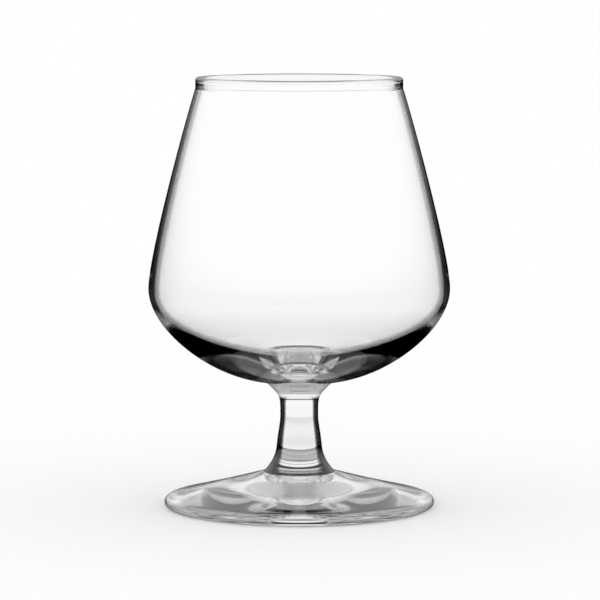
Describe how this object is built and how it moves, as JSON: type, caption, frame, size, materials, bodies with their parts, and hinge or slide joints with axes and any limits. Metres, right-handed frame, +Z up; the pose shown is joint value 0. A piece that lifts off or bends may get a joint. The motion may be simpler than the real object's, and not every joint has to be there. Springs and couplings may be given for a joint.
{
  "type": "brandy snifter",
  "caption": "Short-stemmed brandy snifter: balloon bowl narrowing to a rounded rim, solid waisted stem, and a low domed foot with a hollow underside.",
  "frame": {"origin": "centre of the ring the foot stands on, at the level of the table", "axes": "+Z up along the axis of the bowl, stem and foot"},
  "size_m": [0.0808, 0.0808, 0.1152],
  "materials": {
    "bowl_glass": "clear colourless blown glass, fire polished",
    "stem_glass": "clear colourless drawn glass, fire polished",
    "foot_glass": "clear colourless pressed glass, fire polished"
  },
  "bodies": {
    "root": {"bowl": "bowl_glass", "stem": "stem_glass", "foot": "foot_glass"}
  },
  "joints": []
}
